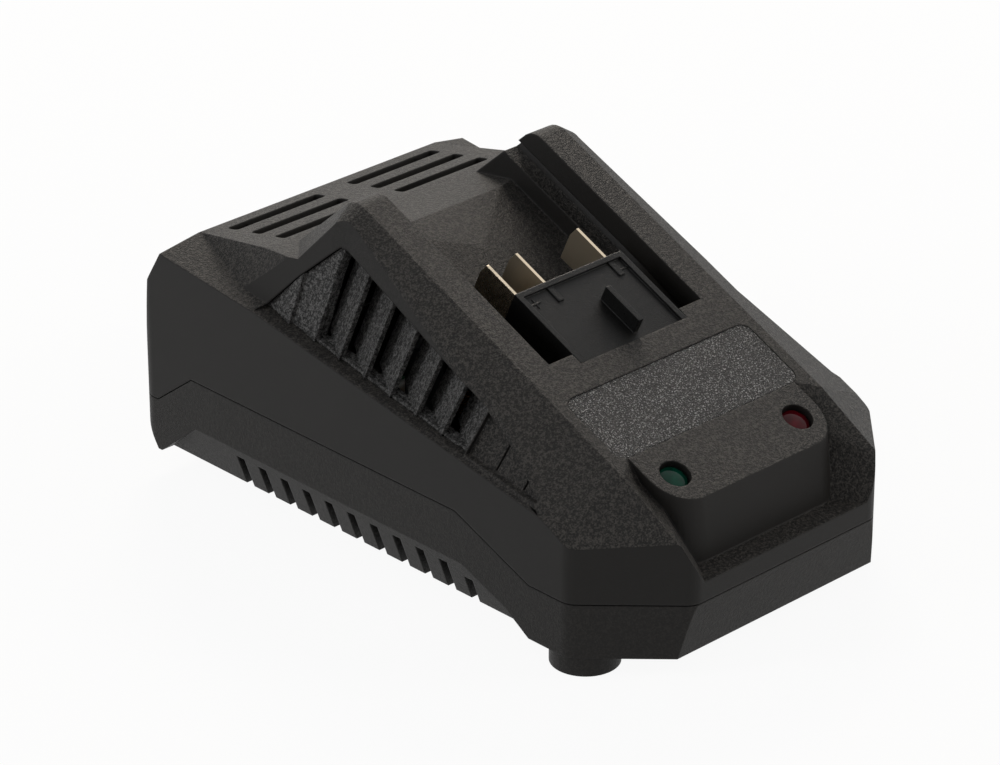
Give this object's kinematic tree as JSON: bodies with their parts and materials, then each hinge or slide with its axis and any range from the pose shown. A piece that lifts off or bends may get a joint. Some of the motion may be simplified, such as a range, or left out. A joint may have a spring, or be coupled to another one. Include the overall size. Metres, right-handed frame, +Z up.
{
  "type": "power tool battery charger",
  "caption": "Slide-dock battery charger: sloped moulded casing with lipped dock rails, terminal block, louvred side grilles and status lenses.",
  "frame": {"origin": "bottom centre of the bounding box, on the plane the feet rest on", "axes": "+X across the width, +Y towards the rear, +Z up"},
  "size_m": [0.104, 0.175, 0.0864],
  "materials": {
    "casing_plastic": "moulded, spark textured on top and fine matt on the sides",
    "grille_plastic": "moulded, spark textured",
    "label_foil": "coarse sparkling texture, blank",
    "green_lens": "clear tinted, polished",
    "red_lens": "clear tinted, polished",
    "block_plastic": "smooth, slightly glossy",
    "blade_metal": "nickel plated strip, satin",
    "lead_insulation": "smooth insulation",
    "screw_steel": "zinc plated",
    "gland_rubber": "soft matt",
    "board_laminate": "solder mask",
    "core_ferrite": "matt ferrite",
    "winding_copper": "enamelled wire",
    "capacitor_can": "shrink sleeve over a can",
    "film_case": "potted case",
    "fuse_glass": "glass tube with end caps",
    "package_plastic": "moulded package",
    "sink_aluminium": "extruded",
    "led_epoxy": "diffuse"
  },
  "bodies": {
    "root": {"upper_casing": "casing_plastic", "lower_casing": "casing_plastic", "side_grille_left": "grille_plastic", "side_grille_right": "grille_plastic", "front_label": "label_foil", "green_status_lens": "green_lens", "red_status_lens": "red_lens", "terminal_block": "block_plastic", "blade_positive": "blade_metal", "blade_signal": "blade_metal", "blade_negative": "blade_metal", "terminal_leads": "lead_insulation", "terminal_block_screws": "screw_steel", "casing_screws": "screw_steel", "board_screws": "screw_steel", "cable_gland": "gland_rubber", "circuit_board": "board_laminate", "transformer_core": "core_ferrite", "transformer_winding": "winding_copper", "input_capacitor": "capacitor_can", "output_capacitors": "capacitor_can", "line_choke": "winding_copper", "filter_capacitor": "film_case", "fuse": "fuse_glass", "bridge_rectifier": "package_plastic", "heat_sink": "sink_aluminium", "power_transistor": "package_plastic", "output_diode": "package_plastic", "indicator_board": "board_laminate", "indicator_leds": "led_epoxy"}
  },
  "joints": []
}
